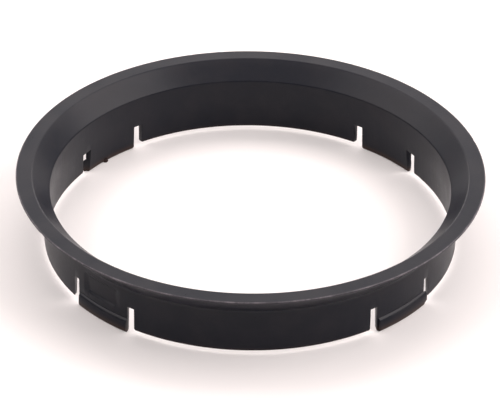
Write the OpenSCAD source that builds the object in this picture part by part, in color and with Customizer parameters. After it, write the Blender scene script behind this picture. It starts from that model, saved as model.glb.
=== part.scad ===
// Hub centric ring: a moulded sleeve that fills the gap between a wheel's
// centre bore and a smaller hub. Its flared flange seats on the bore's
// chamfer and four snap tabs hold its spigot in place.
// Units are millimetres. +Z points out of the flat flange face, the axis is
// on the origin, and the tips of the tabs stand on Z = 0.

/* [Spigot] */
// Outer diameter, the wheel's centre bore
spigot_d = 74.1; // [54:0.1:112]
// Wall at the bore land: twice this off the spigot is the hub's diameter
wall_t = 1.25; // [1:0.05:3]
// Wall at its thin foot
foot_t = 0.7; // [0.6:0.05:0.9]
// Height of the ring without the tab tips
ring_h = 13.25; // [11:0.05:16]
// Height of the straight bore land under the cone
land_h = 3.1; // [2:0.1:5]
// Broken edge around the foot, outside
foot_edge = 0.15; // [0.05:0.05:0.25]

/* [Flange] */
// How far the flange stands out of the spigot
flange_out = 4.75; // [3.5:0.05:5.5]
// Width of the flange face, from the rim to the cone
face_w = 2.85; // [1.5:0.05:3.5]
// Depth of the lead-in cone inside the flange
cone_h = 3.15; // [2.6:0.05:3.8]
// Fillet where the spigot meets the flange
root_r = 1.4; // [0.4:0.1:2.5]
// Height of the thin upright land on the rim
rim_land = 0.1; // [0.05:0.05:0.4]
// Size of the broken edge between face and rim
rim_edge = 0.2; // [0.05:0.05:0.3]

/* [Snap tabs] */
// Number of tabs around the ring
tab_count = 4; // [2:1:6]
// Turn of the tabs away from the diagonals
tab_turn = 1; // [-10:0.1:10]
// Width of a tab, at the outer face
tab_w = 11.9; // [9:0.05:14]
// Width of the slot on each side of a tab, at the outer face
slot_w = 1.55; // [1:0.05:2.2]
// How much each side of a slot opens toward the bore, over the wall at its thickest
slot_flare = 0.45; // [0:0.05:0.8]
// Height of the slots above the wall's foot, at the outer face
slot_h = 4.35; // [3.4:0.05:5]
// How far a slot's roof falls toward the bore, over the wall at its thickest
slot_fall = 0.35; // [0:0.05:0.5]
// How far the tab tips hang below the foot
tab_drop = 0.85; // [0.4:0.05:1.4]
// Corner radius of the tab tips
tab_corner = 0.5; // [0.2:0.05:1]

/* [Snap bead] */
// How far the bead stands out of the spigot
bead_out = 0.5; // [0.3:0.05:0.8]
// Top of the bead, above the tab tip
bead_top = 2.65; // [2.3:0.05:3.1]
// Height of the bead's crest above the tab tip
bead_crest = 1.9; // [1.4:0.05:2.1]
// Round-over of the bead's lower edge
bead_edge = 0.45; // [0.2:0.05:0.45]
// How far the bead's clockwise end stands in from the side of its tab
bead_inset = 0.5; // [0:0.05:1.5]
// Chamfer inside the tab tip
tip_chamfer = 0.3; // [0.1:0.05:0.35]

/* [Panel] */
// Depth of the plain panel sunk in one tab
panel_depth = 0.35; // [0.1:0.05:0.4]
// Width of the panel, as an angle
panel_angle = 12.4; // [8:0.1:15]
// Gap between the bead and the panel
panel_low_gap = 1.25; // [0.4:0.05:1.8]
// Gap between the panel and the fillet under the flange
panel_high_gap = 0.72; // [0.3:0.01:2]

/* [Gate stub] */
// Diameter of the trimmed gate stub on one tab
gate_d = 1.1; // [0.6:0.1:1.6]
// How far the stub stands into the bore
gate_out = 0.3; // [0.1:0.05:0.4]
// Height of the stub
gate_h = 0.7; // [0.4:0.05:1.2]
// Turn of the stub from the middle of its tab
gate_turn = 2; // [-6:0.5:6]

/* [Hidden] */
$fn = 128;

// How far a cutter reaches past what it cuts
reach = 1;
// Segments of the small arcs in the two sections
arc_n = 4;

spigot_r = spigot_d / 2;
bore_r = spigot_r - wall_t;
mouth_r = spigot_r - foot_t;
flange_r = spigot_r + flange_out;
face_r = flange_r - face_w;
bead_r = spigot_r + bead_out;
// The middle of a tab's flat tip, where its bead is rooted
tip_mid = (mouth_r + tip_chamfer + spigot_r - foot_edge) / 2;

foot_z = tab_drop;
slot_z = foot_z + slot_h;
top_z = foot_z + ring_h;
cone_z = top_z - cone_h;
land_z = cone_z - land_h;
rim_z = top_z - rim_edge - rim_land;
// The underside of the flange is a 45 degree cone, and its fillet takes up root_t
root_z = rim_z - flange_out;
root_t = root_r * tan(45 / 2);

tab_pitch = 360 / tab_count;
first_tab = 180 + tab_pitch / 2 + tab_turn;

panel_z = bead_top + panel_low_gap;
panel_h = root_z - root_t - panel_high_gap - panel_z;

// Points of an arc round [cx, cy], from angle a to angle b
function arc(cx, cy, r, a, b) =
    [for (i = [0:arc_n]) let (t = a + (b - a) * i / arc_n) [cx + r * cos(t), cy + r * sin(t)]];

// Distance from the axis to the middle of a chord, y to the side on radius r
function chord_x(r, y) = sqrt(r * r - y * y);

// Section of the ring without its tabs, radius against height
module ring_section() {
    polygon(concat(
        [
            [mouth_r, foot_z],
            [spigot_r - foot_edge, foot_z],
            [spigot_r, foot_z + foot_edge]
        ],
        arc(spigot_r + root_r, root_z - root_t, root_r, 180, 135),
        [
            [flange_r, rim_z],
            [flange_r, rim_z + rim_land],
            [flange_r - rim_edge, top_z],
            [face_r, top_z],
            [bore_r, cone_z],
            [bore_r, land_z]
        ]
    ));
}

// Section of a tab's tip, from the wall's foot down
module tip_section() {
    polygon([
        [mouth_r, foot_z],
        [mouth_r, tip_chamfer],
        [mouth_r + tip_chamfer, 0],
        [spigot_r - foot_edge, 0],
        [spigot_r, foot_edge],
        [spigot_r, foot_z + foot_edge],
        [tip_mid, foot_z + foot_edge]
    ]);
}

// Section of the snap bead: steep above, rounded below, rooted inside the tab
module bead_section() {
    polygon(concat(
        [[tip_mid, 0]],
        arc(bead_r - bead_edge, bead_edge, bead_edge, -90, 0),
        [
            [bead_r, bead_crest],
            [spigot_r, bead_top],
            [tip_mid, bead_top]
        ]
    ));
}

// Stands things at every tab, along +X
module at_tabs() {
    for (i = [0:tab_count - 1]) {
        rotate([0, 0, first_tab + i * tab_pitch]) children();
    }
}

// One slot beside a tab: its sides open and its roof falls toward the bore
module slot(side) {
    middle = (tab_w + slot_w) / 2;
    skin_x = chord_x(spigot_r, tab_w / 2);
    inner_x = chord_x(bore_r, middle) - reach;
    function half_width(x) = slot_w / 2 + slot_flare * (skin_x - x) / wall_t;
    function roof(x) = slot_z - slot_fall * (skin_x - x) / wall_t;
    translate([0, side * middle, 0])
        intersection() {
            translate([0, 0, -reach])
                linear_extrude(height = slot_z + 2 * reach)
                    polygon([
                        [inner_x, -half_width(inner_x)], [bead_r, -half_width(bead_r)],
                        [bead_r, half_width(bead_r)], [inner_x, half_width(inner_x)]
                    ]);
            rotate([90, 0, 0])
                linear_extrude(height = 2 * half_width(inner_x) + reach, center = true)
                    polygon([
                        [inner_x - reach, -2 * reach], [bead_r + reach, -2 * reach],
                        [bead_r + reach, roof(bead_r + reach)], [inner_x - reach, roof(inner_x - reach)]
                    ]);
        }
}

// What rounds off one lower corner of a tab
module corner(side) {
    span = tab_corner + reach;
    depth = flange_r - bore_r;
    translate([bore_r - reach, side * (tab_w / 2 - tab_corner), tab_corner])
        rotate([0, 90, 0])
            difference() {
                translate([0, side > 0 ? 0 : -span, 0]) cube([span, span, depth]);
                translate([0, 0, -reach])
                    cylinder(h = depth + 2 * reach, r = tab_corner, $fn = 32);
            }
}

// Blocks that keep what lies between two sides of every tab
module tab_spans(from, to) {
    at_tabs()
        translate([0, from, -reach]) cube([flange_r, to - from, slot_z + reach]);
}

// The snap tabs' tips and beads, a little too wide until the slots trim them
module tips() {
    side = (tab_w + slot_w) / 2;
    intersection() {
        rotate_extrude() tip_section();
        tab_spans(-side, side);
    }
    intersection() {
        rotate_extrude() bead_section();
        tab_spans(bead_inset - tab_w / 2, side);
    }
}

// Shallow plain panel on the outside of the first tab
module panel() {
    rotate([0, 0, first_tab - panel_angle / 2])
        rotate_extrude(angle = panel_angle)
            translate([spigot_r - panel_depth, panel_z])
                square([panel_depth + reach, panel_h]);
}

// Trimmed gate stub, on the inside of the last tab
module gate() {
    rotate([0, 0, first_tab - tab_pitch + gate_turn])
        translate([mouth_r + gate_d / 2 - gate_out, 0, 0])
            cylinder(h = gate_h, d = gate_d, $fn = 32);
}

module ring() {
    color([0.09, 0.09, 0.1])
        union() {
            difference() {
                union() {
                    rotate_extrude() ring_section();
                    tips();
                }
                at_tabs() {
                    slot(1);
                    slot(-1);
                    corner(1);
                    corner(-1);
                }
                panel();
            }
            gate();
        }
}

ring();
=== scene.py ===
import math

import bmesh
import bpy
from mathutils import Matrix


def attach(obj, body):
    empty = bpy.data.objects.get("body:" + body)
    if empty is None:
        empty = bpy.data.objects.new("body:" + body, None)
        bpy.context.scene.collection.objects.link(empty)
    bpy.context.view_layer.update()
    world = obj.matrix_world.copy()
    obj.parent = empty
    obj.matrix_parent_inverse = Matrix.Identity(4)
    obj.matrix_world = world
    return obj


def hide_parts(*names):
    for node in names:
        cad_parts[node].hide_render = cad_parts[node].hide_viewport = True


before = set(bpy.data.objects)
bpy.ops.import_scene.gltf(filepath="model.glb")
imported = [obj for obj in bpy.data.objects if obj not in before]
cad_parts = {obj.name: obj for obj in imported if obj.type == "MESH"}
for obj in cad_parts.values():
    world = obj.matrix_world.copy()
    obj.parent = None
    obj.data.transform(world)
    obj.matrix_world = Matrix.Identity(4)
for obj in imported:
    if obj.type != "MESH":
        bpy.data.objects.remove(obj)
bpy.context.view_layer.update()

mm = 0.001

# The ring: sizes in mm, angles in degrees, heights from the tabs' tips
ring = {
    "spigotR": 37.05,        # outside of the wall
    "boreR": 35.8,           # straight land inside
    "mouthR": 36.35,         # inside of the wall's thin foot
    "flangeR": 41.8,
    "faceR": 38.95,          # inner edge of the flat face
    "topZ": 14.1,
    "coneZ": 10.95,          # foot of the lead-in cone
    "landZ": 7.85,           # foot of the straight land
    "footZ": 0.85,           # foot of the wall between the tabs
    "rimZ": 13.8,            # lower edge of the rim
    "rimRound": 0.22,        # broken edge between face and rim
    "rootR": 1.4,            # fillet under the flange
    "edgeRound": 0.4,        # the other turned edges
    "wallRound": 0.15,       # the wall's foot, outside
    "slotTop": 5.2,          # roof of the slots at the skin
    "roofFall": 0.28,        # how much lower the roof is at the bore
    "tabSide": 6.03,         # from a tab's middle to its side, at the skin
    "tabLean": 0.47,         # how much that shrinks per mm toward the bore
    "wallSide": 7.4,         # from a tab's middle to the wall, at the skin
    "leanReach": 4,          # degrees of wall that give way to a leaning side
    "wallCorner": 0.3,
    "wallHold": 2,           # height from which the wall keeps clear of that corner
    "tipRound": 0.15,
    "tipChamfer": 0.3,
    "tipHold": 1.9,          # height from which a tab keeps clear of its corners
    "beadR": 37.55,
    "beadTop": 2.65,
    "beadBend": 4,           # power of its crowned outside; more is squarer
    "beadCrest": 1.15,       # where its crowned outside is upright
    "beadRound": 0.45,
    "beadInset": 0.4,        # the bead's clockwise end stands in from the side
    "creaseDepth": 0.04,     # dark crease along the bead's top
    "panelHalf": 6.6,        # degrees
    "panelLow": 3.9,
    "panelHigh": 7.75,
    "panelDepth": 0.3,
    "panelRamp": 0.4,        # the panel's soft step, above and below
    "panelSideRamp": 0.72,
    "brokenEdge": 0.08,
    "brokenFrom": 40,        # degrees of turn from which an edge is broken
    "smoothUpTo": 35,        # degrees of turn up to which shading runs on
}

# Rows and columns of the mesh: mm, degrees, counts, and shares of a tab corner's radius
grid = {
    "underRows": (3.2, 2.1, 1.1, 0.4, 0.06),   # down from the rim, under the flange
    "faceRows": (1.2, 2),                      # in from the rim, on the face
    "coneRows": (0.85, 1.65, 2.35),            # down from the face, on the cone
    "landRow": 9.4,                            # heights from here on
    "taperRow": 6.5,
    "footRows": (3.6, 2.1),
    "skinRow": 2.1,
    "tipRows": (1, 1.8),
    "aboveBead": 0.2,
    "besideTipRound": 0.04,
    "crownRows": (0, 0.3, 0.55, 0.75, 0.9, 1),     # shares of the bead's crown
    "cornerColumns": (1, 0.72, 0.46, 0.22, 0),
    "wallCornerColumns": (0, 0.07, 0.17, 0.3, 0.6),    # mm
    "panelColumns": 6,
    "besidePanel": 7.3,
    "bridgeColumns": 3,
    "wallFrom": 13.6,
    "wallColumns": 32,
    "apart": 0.05,                             # columns closer than this are left out
    "weld": 0.002,
}
same = 0.02      # mm or degrees apart that count as one place

# The tabs counterclockwise; pairs are for their clockwise and their other side:
# the corner's radius, and how much the wall beyond the slot leans away per mm.
# Past is how far the bead's counterclockwise end stands out past the tab's side
tabs = [
    {"angle": 226.2, "corners": (0.6, 0.1), "leans": (0.53, 0.0), "past": 0},      # has the panel
    {"angle": 315.9, "corners": (0.5, 0.35), "leans": (0.0, 0.53), "past": 0.5},
    {"angle": 405.9, "corners": (0.3, 0.25), "leans": (0.53, 0.0), "past": 0},
    {"angle": 496.2, "corners": (0.3, 0.1), "leans": (0.0, 0.53), "past": 0.5},    # has the gate stub
]

# The trimmed gate stub and the knocks in the rim: mm and degrees, as above
stub = {"angle": 138, "diameter": 1.1, "out": 0.35, "high": 0.7, "round": 0.12}
nickReach = 0.15     # how far in from the rim's edge a knock goes
nicks = [
    {"angle": 14.5, "half": 0.6, "depth": 0.12},
    {"angle": 83.5, "half": 0.6, "depth": 0.1},
    {"angle": -149, "half": 0.5, "depth": 0.08},
]


def arcPoints(centre, radius, start, end, count):
    points = []
    for i in range(count + 1):
        a = math.radians(start + (end - start) * i / count)
        points.append((centre[0] + radius * math.cos(a), centre[1] + radius * math.sin(a)))
    return points


# Rounds the corner b between a and c, with a support point on each side
def roundedCorner(a, b, c, radius, count=4, support=0.05):
    lenA, lenC = math.dist(a, b), math.dist(c, b)
    toA = ((a[0] - b[0]) / lenA, (a[1] - b[1]) / lenA)
    toC = ((c[0] - b[0]) / lenC, (c[1] - b[1]) / lenC)
    half = math.acos(toA[0] * toC[0] + toA[1] * toC[1]) / 2
    reach = radius / math.tan(half)
    middle = (toA[0] + toC[0], toA[1] + toC[1])
    far = radius / math.sin(half) / math.hypot(*middle)
    hub = (b[0] + middle[0] * far, b[1] + middle[1] * far)
    first = (b[0] + toA[0] * reach, b[1] + toA[1] * reach)
    last = (b[0] + toC[0] * reach, b[1] + toC[1] * reach)
    start = math.degrees(math.atan2(first[1] - hub[1], first[0] - hub[0]))
    end = math.degrees(math.atan2(last[1] - hub[1], last[0] - hub[0]))
    end -= 360 * round((end - start) / 360)      # the short way round
    before = (first[0] + toA[0] * support, first[1] + toA[1] * support)
    after = (last[0] + toC[0] * support, last[1] + toC[1] * support)
    return [before] + arcPoints(hub, radius, start, end, count) + [after]


# Radius of the inside at a height: straight on the land, tapering below it
def insideR(z):
    share = max(0, ring["landZ"] - z) / (ring["landZ"] - ring["footZ"])
    return ring["boreR"] + (ring["mouthR"] - ring["boreR"]) * share


# Section shared by all columns: from the slot's roof outside, over the flange, to the roof inside
def upperSection():
    r = ring
    spigot, flange, bore, top = r["spigotR"], r["flangeR"], r["boreR"], r["topZ"]
    rim, face, coneFoot = (flange, r["rimZ"]), (r["faceR"], top), (bore, r["coneZ"])
    rootZ = r["rimZ"] - (flange - spigot)
    points = [(spigot, z) for z in (r["slotTop"], r["panelHigh"] - r["panelRamp"], r["panelHigh"])]
    points += roundedCorner((spigot, 0), (spigot, rootZ), rim, r["rootR"], count=8, support=0.1)
    points += [(flange - step, r["rimZ"] - step) for step in grid["underRows"]] + [rim]
    points += roundedCorner(rim, (flange, top), face, r["rimRound"], count=5, support=0.04)
    points += [(flange - step, top) for step in grid["faceRows"]]
    points += roundedCorner((flange, top), face, coneFoot, r["edgeRound"])
    points += [(r["faceR"] - step, top - step) for step in grid["coneRows"]]
    points += roundedCorner(face, coneFoot, (bore, 0), r["edgeRound"])
    roof = r["slotTop"] - r["roofFall"]
    points += [(insideR(z), z) for z in (grid["landRow"], r["landZ"], grid["taperRow"], roof)]
    return points


# The wall's foot between two tabs, from the slot's roof inside to outside
def wallSection():
    r = ring
    roof = r["slotTop"] - r["roofFall"]
    spigot, low = r["spigotR"], r["panelLow"]
    inner, outer = (r["mouthR"], r["footZ"]), (spigot, r["footZ"])
    points = [(insideR(z), z) for z in grid["footRows"]]
    top = (insideR(roof), roof)
    points += roundedCorner(top, inner, outer, r["brokenEdge"], count=3, support=0.03)
    points += roundedCorner(inner, outer, (spigot, r["slotTop"]), r["wallRound"], support=0.03)
    points += [(spigot, z) for z in (grid["skinRow"], low, low + r["panelRamp"])]
    return points


# Where a tip's flat end meets its outer edge, or its bead
def tipEdgeR():
    return ring["spigotR"] - ring["tipRound"] - grid["besideTipRound"]


# A tab's tip the same way round, with or without its bead
def tabSection(withBead):
    r = ring
    spigot, mouth, bead, low = r["spigotR"], r["mouthR"], r["beadR"], r["panelLow"]
    chamferHigh = (mouth, r["tipChamfer"])
    chamferLow = (mouth + r["tipChamfer"], 0)
    points = [(insideR(z), z) for z in grid["footRows"]] + [(mouth, r["footZ"])]
    corners = ((mouth, r["footZ"]), chamferHigh, chamferLow, (bead, 0))
    points += roundedCorner(*corners[:3], r["brokenEdge"], count=2, support=0.02)
    points += roundedCorner(*corners[1:], r["brokenEdge"], count=2, support=0.02)
    points += [(tipEdgeR(), 0)]
    if withBead:
        edge = r["beadRound"]
        points += arcPoints((bead - edge, edge), edge, -90, 0, 6)
        crown = r["beadTop"] - r["beadCrest"]
        for share in grid["crownRows"]:
            out = (bead - spigot) * (1 - share ** r["beadBend"])
            points.append((spigot + out, r["beadCrest"] + crown * share))
    else:
        edge = r["tipRound"]
        points += arcPoints((spigot - edge, edge), edge, -90, 0, 4)
        points += [(spigot, z) for z in grid["tipRows"] + (r["beadTop"],)]
    points += [(spigot, z) for z in (r["beadTop"] + grid["aboveBead"], low, low + r["panelRamp"])]
    return points


def deselectAll():
    if bpy.context.object and bpy.context.object.mode != "OBJECT":
        bpy.ops.object.mode_set(mode="OBJECT")
    bpy.ops.object.select_all(action="DESELECT")


def activate(piece):
    deselectAll()
    piece.select_set(True)
    bpy.context.view_layer.objects.active = piece


# In edit mode, selects the vertices with the given indices
def pickVertices(piece, indices):
    bpy.ops.mesh.select_mode(type="VERT")
    bpy.ops.mesh.select_all(action="DESELECT")
    mesh = bmesh.from_edit_mesh(piece.data)
    mesh.verts.ensure_lookup_table()
    for i in indices:
        mesh.verts[i].select = True
    mesh.select_flush_mode()
    bmesh.update_edit_mesh(piece.data)


# Turns what is selected round the ring's axis, counterclockwise from above
def turn(degrees):
    bpy.ops.transform.rotate(value=-math.radians(degrees), orient_axis="Z", center_override=(0, 0, 0))


# Draws a section upright point by point, closed, and spins it through the angles
def spinSection(name, points, angles):
    deselectAll()
    first = points[0]
    bpy.ops.mesh.primitive_plane_add(size=mm, location=(first[0] * mm, 0, first[1] * mm))
    piece = bpy.context.object
    piece.name = name
    bpy.ops.object.transform_apply(location=True)
    bpy.ops.object.mode_set(mode="EDIT")
    bpy.ops.mesh.select_all(action="SELECT")
    bpy.ops.mesh.merge(type="CENTER")
    for a, b in zip(points, points[1:]):
        step = ((b[0] - a[0]) * mm, 0, (b[1] - a[1]) * mm)
        bpy.ops.mesh.extrude_vertices_move(TRANSFORM_OT_translate={"value": step})
    pickVertices(piece, (0, len(points) - 1))
    bpy.ops.mesh.edge_face_add()
    bpy.ops.mesh.select_all(action="SELECT")
    turn(angles[0])
    for a, b in zip(angles, angles[1:]):
        bpy.ops.mesh.spin(steps=1, angle=-math.radians(b - a), center=(0, 0, 0), axis=(0, 0, 1))
    bpy.ops.object.mode_set(mode="OBJECT")
    return piece


def joinPieces(pieces):
    activate(pieces[0])
    for piece in pieces:
        piece.select_set(True)
    bpy.ops.object.join()
    joined = bpy.context.object
    bpy.ops.object.mode_set(mode="EDIT")
    bpy.ops.mesh.select_all(action="SELECT")
    bpy.ops.mesh.remove_doubles(threshold=grid["weld"] * mm)
    bpy.ops.object.mode_set(mode="OBJECT")
    return joined


def evenAngles(start, end, count):
    return [start + (end - start) * i / count for i in range(count + 1)]


# Radius and height in mm and angle in degrees of each vertex
def places(piece):
    found = []
    for vert in piece.data.vertices:
        x, y, z = vert.co / mm
        found.append((math.hypot(x, y), math.degrees(math.atan2(y, x)), z))
    return found


# Rounds a lower corner: the columns near a slot get shorter from below
def roundLowerCorner(piece, columns, edge, radius, low, hold):
    for angle in columns:
        gap = abs(angle - edge) * math.radians(1) * ring["spigotR"]
        if gap >= radius:
            continue
        lift = radius - math.sqrt(radius ** 2 - (radius - gap) ** 2)
        where = places(piece)
        near = [i for i, (r, t, z) in enumerate(where) if abs(t - angle) < same and z < hold]
        pickVertices(piece, near)
        squeeze = (hold - low - lift) / (hold - low)
        bpy.ops.transform.resize(value=(1, 1, squeeze), center_override=(0, 0, hold * mm))
        bpy.ops.object.mode_set(mode="OBJECT")
        bpy.ops.object.mode_set(mode="EDIT")


# Makes a slot's side a plane that leans with depth, and closes it. The columns behind it,
# where away is 1 for counterclockwise and -1 for clockwise, follow less and less
def leanSide(piece, angle, side, lean, away):
    column = []
    steps = {}
    for i, (r, t, z) in enumerate(places(piece)):
        behind = (t - angle) * away
        if z > ring["slotTop"] + same or not -same < behind < ring["leanReach"]:
            continue
        if behind < same:
            column.append(i)
        reach = side + lean * max(0, ring["spigotR"] - r)
        step = math.degrees(math.asin(reach / r)) - angle
        share = 1 - behind / ring["leanReach"]
        steps.setdefault(round(step * share, 2), []).append(i)
    for step, indices in steps.items():
        pickVertices(piece, indices)
        turn(step)
    pickVertices(piece, column)
    bpy.ops.mesh.edge_face_add()


# Half a tab with its slot and the wall up to the middle between two tabs. It is made
# counterclockwise of the tab's middle, and the clockwise half, with the inset, is mirrored later
def buildHalf(span, corner, lean, past, withInset):
    r = ring
    perMm = 1 / (math.radians(1) * r["spigotR"])
    tabEdge = math.degrees(math.asin(r["tabSide"] / r["spigotR"]))
    wallEdge = math.degrees(math.asin(r["wallSide"] / r["spigotR"]))
    beadEnd = tabEdge - r["beadInset"] * perMm
    cornerAngles = [tabEdge - corner * share * perMm for share in grid["cornerColumns"]]
    panelFloor = r["panelHalf"] - r["panelSideRamp"] * perMm
    tabAngles = evenAngles(0, panelFloor, grid["panelColumns"]) + [r["panelHalf"], grid["besidePanel"]]
    upper = upperSection()
    pieces = []
    if withInset:
        tabAngles += [a for a in cornerAngles if a < beadEnd - grid["apart"]] + [beadEnd]
        tipAngles = [beadEnd] + [a for a in cornerAngles if a > beadEnd + grid["apart"]]
        pieces.append(spinSection("tip", upper + tabSection(False), tipAngles))
    else:
        tabAngles += cornerAngles
    pieces.append(spinSection("tab", upper + tabSection(True), tabAngles))
    pieces.append(spinSection("bridge", upper, evenAngles(tabEdge, wallEdge, grid["bridgeColumns"])))
    wallCorner = [wallEdge + gap * perMm for gap in grid["wallCornerColumns"]]
    wallAngles = wallCorner + evenAngles(grid["wallFrom"], span, grid["wallColumns"])
    pieces.append(spinSection("wall", upper + wallSection(), wallAngles))
    half = joinPieces(pieces)
    activate(half)
    bpy.ops.object.mode_set(mode="EDIT")
    if withInset:
        closeBeadEnd(half, beadEnd)
    creaseBead(half, beadEnd - same if withInset else tabEdge + same)
    roundLowerCorner(half, tabAngles + cornerAngles, tabEdge, corner, 0, r["tipHold"])
    roundLowerCorner(half, wallCorner, wallEdge, r["wallCorner"], r["footZ"], r["wallHold"])
    leanSide(half, tabEdge, r["tabSide"], -r["tabLean"], -1)
    leanSide(half, wallEdge, r["wallSide"], lean, 1)
    if past and not withInset:
        pickVertices(half, [
            i for i, (dist, t, z) in enumerate(places(half))
            if abs(t - tabEdge) < same and dist > r["spigotR"] + same and z < r["beadTop"]
        ])
        turn(past * perMm)
    bpy.ops.object.mode_set(mode="OBJECT")
    return half


# Fills the step between the bead's section and the plain tip's
def closeBeadEnd(half, angle):
    pickVertices(half, [
        i for i, (dist, t, z) in enumerate(places(half))
        if abs(t - angle) < same and dist > tipEdgeR() - same and z < ring["beadTop"] + same
    ])
    bpy.ops.mesh.edge_face_add()


# Presses a shallow crease into the skin along the bead's top
def creaseBead(half, end):
    r = ring
    pickVertices(half, [
        i for i, (dist, t, z) in enumerate(places(half))
        if t < end and abs(dist - r["spigotR"]) < same and abs(z - r["beadTop"]) < same
    ])
    pressIn(r["creaseDepth"], r["spigotR"])


# Makes both halves of every tab, turns them into place and welds them
def buildRing():
    halves = []
    count = len(tabs)
    for i, tab in enumerate(tabs):
        nextAngle = tabs[(i + 1) % count]["angle"] + 360 * ((i + 1) // count)
        lastAngle = tabs[i - 1]["angle"] - (360 if i == 0 else 0)
        spans = ((tab["angle"] - lastAngle) / 2, (nextAngle - tab["angle"]) / 2)
        for k, clockwise in enumerate((True, False)):
            half = buildHalf(spans[k], tab["corners"][k], tab["leans"][k], tab["past"], clockwise)
            activate(half)
            bpy.ops.object.mode_set(mode="EDIT")
            bpy.ops.mesh.select_all(action="SELECT")
            if clockwise:
                bpy.ops.transform.resize(value=(1, -1, 1), center_override=(0, 0, 0))
            turn(tab["angle"])
            bpy.ops.object.mode_set(mode="OBJECT")
            halves.append(half)
    piece = joinPieces(halves)
    piece.name = "mouldedRing"
    piece.data.name = "mouldedRing"
    return piece


# Moves what is selected toward the ring's axis, by a depth at a radius
def pressIn(depth, radius):
    share = 1 - depth / radius
    bpy.ops.transform.resize(value=(share, share, 1), center_override=(0, 0, 0))


# How far an angle lies from a middle, between -180 and 180
def angleFrom(angle, middle):
    return (angle - middle + 180) % 360 - 180


# Sinks the plain panel into the first tab: the skin inside its soft step goes in
def sinkPanel(piece):
    r = ring
    activate(piece)
    bpy.ops.object.mode_set(mode="EDIT")
    inside = []
    for i, (dist, t, z) in enumerate(places(piece)):
        onSkin = abs(dist - r["spigotR"]) < same and r["panelLow"] + same < z < r["panelHigh"] - same
        if onSkin and abs(angleFrom(t, tabs[0]["angle"])) < r["panelHalf"] - same:
            inside.append(i)
    pickVertices(piece, inside)
    pressIn(r["panelDepth"], r["spigotR"])
    bpy.ops.object.mode_set(mode="OBJECT")


# Small knocks in the rim's edge
def nickRim(piece):
    activate(piece)
    bpy.ops.object.mode_set(mode="EDIT")
    for nick in nicks:
        pickVertices(piece, [
            i for i, (dist, t, z) in enumerate(places(piece))
            if dist > ring["flangeR"] - nickReach and abs(angleFrom(t, nick["angle"])) < nick["half"]
        ])
        pressIn(nick["depth"], ring["flangeR"])
    bpy.ops.object.mode_set(mode="OBJECT")


# The trimmed gate stub stands inside the last tab's tip
def addGateStub():
    deselectAll()
    angle = math.radians(stub["angle"])
    reach = (ring["mouthR"] + stub["diameter"] / 2 - stub["out"]) * mm
    bpy.ops.mesh.primitive_cylinder_add(
        vertices=24, radius=stub["diameter"] / 2 * mm, depth=stub["high"] * mm,
        location=(reach * math.cos(angle), reach * math.sin(angle), stub["high"] / 2 * mm))
    gate = bpy.context.object
    gate.name = "gateStub"
    bpy.ops.object.transform_apply(location=True)
    bpy.ops.object.mode_set(mode="EDIT")
    bpy.ops.mesh.select_all(action="SELECT")
    bpy.ops.mesh.edges_select_sharp(sharpness=math.radians(60))
    bpy.ops.mesh.bevel(offset=stub["round"] * mm, segments=3, affect="EDGES")
    bpy.ops.object.mode_set(mode="OBJECT")
    return gate


# Breaks the sharp edges that the slots, the bead's end and the panel left
def breakEdges(piece):
    activate(piece)
    bpy.ops.object.mode_set(mode="EDIT")
    bpy.ops.mesh.select_mode(type="EDGE")
    bpy.ops.mesh.select_all(action="SELECT")
    bpy.ops.mesh.normals_make_consistent(inside=False)
    bpy.ops.mesh.select_all(action="DESELECT")
    bpy.ops.mesh.edges_select_sharp(sharpness=math.radians(ring["brokenFrom"]))
    bpy.ops.mesh.bevel(offset=ring["brokenEdge"] * mm, segments=2, affect="EDGES", clamp_overlap=True)
    bpy.ops.mesh.select_all(action="SELECT")
    bpy.ops.mesh.normals_make_consistent(inside=False)
    bpy.ops.object.mode_set(mode="OBJECT")


piece = buildRing()
print("ring welded", len(piece.data.vertices), len(piece.data.polygons))
sinkPanel(piece)
nickRim(piece)
breakEdges(piece)
gate = addGateStub()
activate(piece)
gate.select_set(True)
bpy.ops.object.join()
bpy.ops.object.shade_smooth_by_angle(angle=math.radians(ring["smoothUpTo"]))
print("ring done", len(piece.data.vertices), len(piece.data.polygons))

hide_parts("ring")
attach(piece, "root")


# An sRGB hex colour as linear RGBA
def linear(hexColour):
    channels = []
    for i in (0, 2, 4):
        c = int(hexColour[i:i + 2], 16) / 255
        channels.append(c / 12.92 if c <= 0.04045 else ((c + 0.055) / 1.055) ** 2.4)
    return (*channels, 1)


# Adds a node, sets its settings and links or fills its inputs
def addNode(tree, kind, settings={}, inputs={}):
    node = tree.nodes.new(kind)
    for key, value in settings.items():
        setattr(node, key, value)
    for key, value in inputs.items():
        if isinstance(value, bpy.types.NodeSocket):
            tree.links.new(value, node.inputs[key])
        else:
            node.inputs[key].default_value = value
    return node


# Nylon, injection moulded and black right through. It reads as satin black with a cool
# cast, cloudy in broad patches, finely grained, with faint streaks along the draw.
# Lengths are in mm. A pair gives where a mask starts and where it is full
plastic = {
    "base": "090c18",
    "cloud": "15151d",
    # the rim's rubbed edge, which is also a painted highlight
    "rubbedAndHighlight": "6a666b",
    # painted reflection of the warm floor on the lower edges
    "foot": "3a2820",
    "specular": 0.215,
    "roughness": (0.29, 0.4),    # in the clouds' darkest and lightest places
    "roughGrain": 0.12,
    "roughOnWearAndLight": 0.2,
    "cloudSize": 7,
    "cloudMask": (0.35, 0.68),
    "grainSize": 0.35,           # the real grain, about 0.05 mm, wouldn't show
    "grainDepth": 0.012,
    "streakWidth": 0.7,
    "streakRise": 0.06,          # along the draw the streaks are so much slower
    "streakDepth": 0.012,
    "rubAndHighlightOut": (0.26, 0.1),       # in from the rim's edge
    "rubAndHighlightDown": (0.26, 0.12),     # down from the face
    "speckGap": 3.5,             # between bright specks on the rim, partly wear and partly painted glints
    "speckMask": (0.42, 0.7),
    "speckShares": (0.4, 1.5),
    "underLightShare": 0.14,          # how much painted light lifts the underside toward the rim
    "faceSkin": 0.1,             # the face itself is free of it
    "footHeights": (1.6, 0.2),   # painted reflection of the warm floor, browner toward the bottom
    "footShare": 0.75,
}


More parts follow.
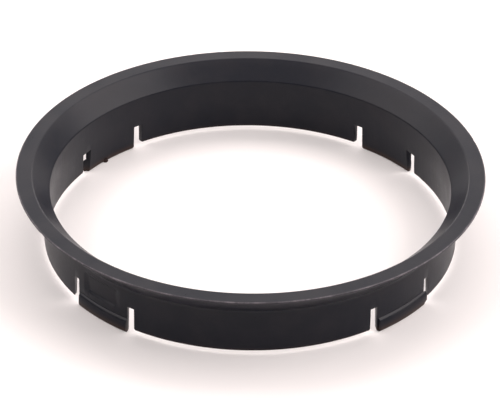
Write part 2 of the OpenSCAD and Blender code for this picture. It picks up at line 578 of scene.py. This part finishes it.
def mouldedNylon():
    look = plastic
    material = bpy.data.materials.new("mouldedBlackNylon")
    material.use_nodes = True
    tree = material.node_tree
    shader = tree.nodes["Principled BSDF"]

    coords = addNode(tree, "ShaderNodeTexCoord")
    place = addNode(tree, "ShaderNodeVectorMath", {"operation": "SCALE"}, {
        0: coords.outputs["Object"], "Scale": 1 / mm})
    axes = addNode(tree, "ShaderNodeSeparateXYZ", {}, {0: place.outputs[0]})
    level = addNode(tree, "ShaderNodeVectorMath", {"operation": "MULTIPLY"}, {
        0: place.outputs[0], 1: (1, 1, 0)})
    length = addNode(tree, "ShaderNodeVectorMath", {"operation": "LENGTH"}, {0: level.outputs[0]})
    radius, height = length.outputs["Value"], axes.outputs["Z"]
    turned = addNode(tree, "ShaderNodeMath", {"operation": "ARCTAN2"}, {
        0: axes.outputs["Y"], 1: axes.outputs["X"]})
    arc = addNode(tree, "ShaderNodeMath", {"operation": "MULTIPLY"}, {
        0: turned.outputs[0], 1: ring["spigotR"]})

    # Patterns: broad clouds, fine grain, and streaks that run along the draw
    cloud = addNode(tree, "ShaderNodeTexNoise", {}, {
        "Vector": place.outputs[0], "Scale": 1 / look["cloudSize"], "Detail": 4, "Roughness": 0.6})
    clouds = addNode(tree, "ShaderNodeMapRange", {"interpolation_type": "SMOOTHSTEP"}, {
        "Value": cloud.outputs["Fac"], "From Min": look["cloudMask"][0], "From Max": look["cloudMask"][1]})
    grain = addNode(tree, "ShaderNodeTexNoise", {}, {
        "Vector": place.outputs[0], "Scale": 1 / look["grainSize"], "Detail": 2, "Roughness": 0.7})
    rise = addNode(tree, "ShaderNodeMath", {"operation": "MULTIPLY"}, {0: height, 1: look["streakRise"]})
    drawn = addNode(tree, "ShaderNodeCombineXYZ", {}, {"X": arc.outputs[0], "Y": rise.outputs[0]})
    streak = addNode(tree, "ShaderNodeTexNoise", {}, {
        "Vector": drawn.outputs[0], "Scale": 1 / look["streakWidth"], "Detail": 3, "Roughness": 0.65})
    shape = addNode(tree, "ShaderNodeNewGeometry")
    facing = addNode(tree, "ShaderNodeSeparateXYZ", {}, {0: shape.outputs["Normal"]})
    tilt = addNode(tree, "ShaderNodeMath", {"operation": "ABSOLUTE"}, {0: facing.outputs["Z"]})
    upright = addNode(tree, "ShaderNodeMapRange", {"interpolation_type": "SMOOTHSTEP"}, {
        "Value": tilt.outputs[0], "From Min": 0.3, "From Max": 0.9, "To Min": 1, "To Max": 0})
    streaks = addNode(tree, "ShaderNodeMath", {"operation": "MULTIPLY"}, {
        0: streak.outputs["Fac"], 1: upright.outputs[0]})

    # Wear and painted light: the rim's edge is rubbed pale and carries a painted highlight, with brighter
    # specks that are partly wear and partly painted glints, and under the rim a painted light fades inward
    rimOut = addNode(tree, "ShaderNodeMapRange", {"interpolation_type": "SMOOTHSTEP"}, {
        "Value": radius,
        "From Min": ring["flangeR"] - look["rubAndHighlightOut"][0], "From Max": ring["flangeR"] - look["rubAndHighlightOut"][1]})
    rimUp = addNode(tree, "ShaderNodeMapRange", {"interpolation_type": "SMOOTHSTEP"}, {
        "Value": height,
        "From Min": ring["topZ"] - look["rubAndHighlightDown"][0], "From Max": ring["topZ"] - look["rubAndHighlightDown"][1]})
    edge = addNode(tree, "ShaderNodeMath", {"operation": "MULTIPLY"}, {
        0: rimOut.outputs[0], 1: rimUp.outputs[0]})
    along = addNode(tree, "ShaderNodeCombineXYZ", {}, {"X": arc.outputs[0]})
    speckNoise = addNode(tree, "ShaderNodeTexNoise", {}, {
        "Vector": along.outputs[0], "Scale": 1 / look["speckGap"], "Detail": 6, "Roughness": 0.75})
    wornAndGlints = addNode(tree, "ShaderNodeMapRange", {"interpolation_type": "SMOOTHSTEP"}, {
        "Value": speckNoise.outputs["Fac"],
        "From Min": look["speckMask"][0], "From Max": look["speckMask"][1],
        "To Min": look["speckShares"][0], "To Max": look["speckShares"][1]})
    rubbedAndHighlight = addNode(tree, "ShaderNodeMath", {"operation": "MULTIPLY"}, {
        0: edge.outputs[0], 1: wornAndGlints.outputs[0]})
    # Painted light under the flange: paler toward the rim's edge, dark toward the wall, and kept off the
    # face
    paintedUnderLight = addNode(tree, "ShaderNodeMapRange", {"interpolation_type": "SMOOTHERSTEP"}, {
        "Value": radius,
        "From Min": ring["spigotR"], "From Max": ring["flangeR"], "To Max": look["underLightShare"]})
    lower = addNode(tree, "ShaderNodeMapRange", {}, {
        "Value": height,
        "From Min": ring["topZ"] - look["faceSkin"], "From Max": ring["topZ"], "To Min": 1, "To Max": 0})
    paintedUnderLightOffFace = addNode(tree, "ShaderNodeMath", {"operation": "MULTIPLY"}, {
        0: paintedUnderLight.outputs[0], 1: lower.outputs[0]})
    # The rim's wear with its painted highlight, together with the painted light under the rim
    wearAndPaintedLight = addNode(tree, "ShaderNodeMath", {"operation": "MAXIMUM"}, {
        0: rubbedAndHighlight.outputs[0], 1: paintedUnderLightOffFace.outputs[0]})
    # Painted reflection of the warm floor: the lower edges turn brown, most at the bottom
    foot = addNode(tree, "ShaderNodeMapRange", {"interpolation_type": "SMOOTHSTEP"}, {
        "Value": height, "From Min": look["footHeights"][1], "From Max": look["footHeights"][0],
        "To Min": look["footShare"], "To Max": 0})

    # Colour: the clouds, then the painted floor reflection at the foot, and over them the rim's wear with
    # its painted highlight and the painted light under the rim
    mix = {"data_type": "RGBA"}
    factor, below, above, mixed = 0, 6, 7, 2     # the Mix node's sockets for colours
    clouded = addNode(tree, "ShaderNodeMix", mix, {
        factor: clouds.outputs[0], below: linear(look["base"]), above: linear(look["cloud"])})
    footed = addNode(tree, "ShaderNodeMix", mix, {
        factor: foot.outputs[0], below: clouded.outputs[mixed], above: linear(look["foot"])})
    colour = addNode(tree, "ShaderNodeMix", mix, {
        factor: wearAndPaintedLight.outputs[0], below: footed.outputs[mixed], above: linear(look["rubbedAndHighlight"])})
    tree.links.new(colour.outputs[mixed], shader.inputs["Base Color"])

    # Roughness follows the clouds and the grain, and is higher over the rim's worn edge with its painted
    # highlight, and a little under the rim where light is painted
    low, high = look["roughness"]
    sheen = addNode(tree, "ShaderNodeMapRange", {}, {
        "Value": cloud.outputs["Fac"], "From Min": 0.3, "From Max": 0.7,
        "To Min": low - look["roughGrain"] / 2, "To Max": high - look["roughGrain"] / 2})
    grainy = addNode(tree, "ShaderNodeMath", {"operation": "MULTIPLY_ADD"}, {
        0: grain.outputs["Fac"], 1: look["roughGrain"], 2: sheen.outputs[0]})
    rough = addNode(tree, "ShaderNodeMath", {"operation": "MULTIPLY_ADD"}, {
        0: wearAndPaintedLight.outputs[0], 1: look["roughOnWearAndLight"], 2: grainy.outputs[0]})
    tree.links.new(rough.outputs[0], shader.inputs["Roughness"])

    grained = addNode(tree, "ShaderNodeBump", {}, {
        "Height": grain.outputs["Fac"], "Strength": 1, "Distance": look["grainDepth"] * mm})
    marked = addNode(tree, "ShaderNodeBump", {}, {
        "Height": streaks.outputs[0], "Strength": 1, "Distance": look["streakDepth"] * mm,
        "Normal": grained.outputs[0]})
    tree.links.new(marked.outputs[0], shader.inputs["Normal"])
    shader.inputs["Specular IOR Level"].default_value = look["specular"]
    return material


piece.data.materials.clear()
piece.data.materials.append(mouldedNylon())

# The studio: a white table, a pale room and softboxes; lengths in m, angles in degrees
stage = {
    "floor": "eeebea",
    "floorSize": 4,
    "floorBack": 0.6,         # how far its middle lies behind the ring
    "paperRoughness": 0.9,
    "glow": 0.12,             # of the floor, as it is seen and mirrored
    "backdrop": 0.35,         # of the room, the same way
    "lampsFar": 0.8,
    "lampColour": (1, 0.925, 0.91),
}

# Powers in W
lights = {
    "rightBox": {"azimuth": -5, "height": 38, "size": (0.75, 0.6), "power": 6.5},
    "rightBackBox": {"azimuth": 38, "height": 36, "size": (0.4, 0.5), "power": 0.6},
    "leftBox": {"azimuth": 185, "height": 42, "size": (0.7, 0.5), "power": 3.35},
    "leftBackBox": {"azimuth": 142, "height": 36, "size": (0.4, 0.5), "power": 1.15},
    "backBox": {"azimuth": 90, "height": 34, "size": (1.0, 0.5), "power": 1.3},
    "backLowBox": {"azimuth": 90, "height": 12, "size": (1.0, 0.2), "power": 1.9},
    "backHighBox": {"azimuth": 90, "height": 60, "size": (0.8, 0.4), "power": 2.8},
    "frontHighBox": {"azimuth": 270, "height": 60, "size": (0.8, 0.4), "power": 1.3},
    "frontLowBox": {"azimuth": 270, "height": 14, "size": (1.0, 0.2), "power": 0.7},
}


# Links a strength that counts only where the thing is seen, mirrored or seen through
def showOnly(tree, strength, socket):
    path = addNode(tree, "ShaderNodeLightPath")
    seen = addNode(tree, "ShaderNodeMath", {"operation": "ADD", "use_clamp": True},
                   {0: path.outputs["Is Camera Ray"], 1: path.outputs["Is Glossy Ray"]})
    seen = addNode(tree, "ShaderNodeMath", {"operation": "ADD", "use_clamp": True},
                   {0: seen.outputs[0], 1: path.outputs["Is Transmission Ray"]})
    shown = addNode(tree, "ShaderNodeMath", {"operation": "MULTIPLY"}, {0: seen.outputs[0], 1: strength})
    tree.links.new(shown.outputs[0], socket)


deselectAll()
bpy.ops.mesh.primitive_plane_add(size=stage["floorSize"], location=(0, stage["floorBack"], 0))
floor = bpy.context.object
floor.name = "floor"
bpy.ops.object.transform_apply(location=True)
paper = bpy.data.materials.new("whitePaper")
paper.use_nodes = True
tree = paper.node_tree
paperShader = tree.nodes["Principled BSDF"]
paperShader.inputs["Base Color"].default_value = linear(stage["floor"])
paperShader.inputs["Roughness"].default_value = stage["paperRoughness"]
paperShader.inputs["Specular IOR Level"].default_value = 0
paperShader.inputs["Emission Color"].default_value = (1, 1, 1, 1)
showOnly(tree, stage["glow"], paperShader.inputs["Emission Strength"])
floor.data.materials.append(paper)

world = bpy.data.worlds.new("studio")
world.use_nodes = True
room = world.node_tree.nodes["Background"]
room.inputs["Color"].default_value = (1, 1, 1, 1)
showOnly(world.node_tree, stage["backdrop"], room.inputs["Strength"])
bpy.context.scene.world = world


# Adds a softbox that looks at the ring from an azimuth and a height in degrees
def softbox(name, box):
    deselectAll()
    az, height = math.radians(box["azimuth"]), math.radians(box["height"])
    out = (math.cos(az) * math.cos(height), math.sin(az) * math.cos(height), math.sin(height))
    bpy.ops.object.light_add(type="AREA", location=[c * stage["lampsFar"] for c in out])
    light = bpy.context.object
    light.name = name
    light.data.shape = "RECTANGLE"
    light.data.size, light.data.size_y = box["size"]
    light.data.energy = box["power"]
    light.data.color = stage["lampColour"]
    light.rotation_euler = (math.pi / 2 - height, 0, az + math.pi / 2)


for name, box in lights.items():
    softbox(name, box)

# The photo's camera: place and clipping in m, turn in degrees, lens and sensor in mm
camera = {
    "place": (0, -0.49366, 0.3272),
    "turn": (57.0763, -0.5169, 0.3413),
    "lens": 236.23,
    "sensor": 36,
    "clip": (0.05, 10),
}
deselectAll()
bpy.ops.object.camera_add(location=camera["place"], rotation=[math.radians(a) for a in camera["turn"]])
lookout = bpy.context.object
lookout.name = "photoCamera"
lookout.data.sensor_width = camera["sensor"]
lookout.data.lens = camera["lens"]
lookout.data.clip_start, lookout.data.clip_end = camera["clip"]
bpy.context.scene.camera = lookout
bpy.context.scene.view_settings.view_transform = "Standard"

print("scene ready")
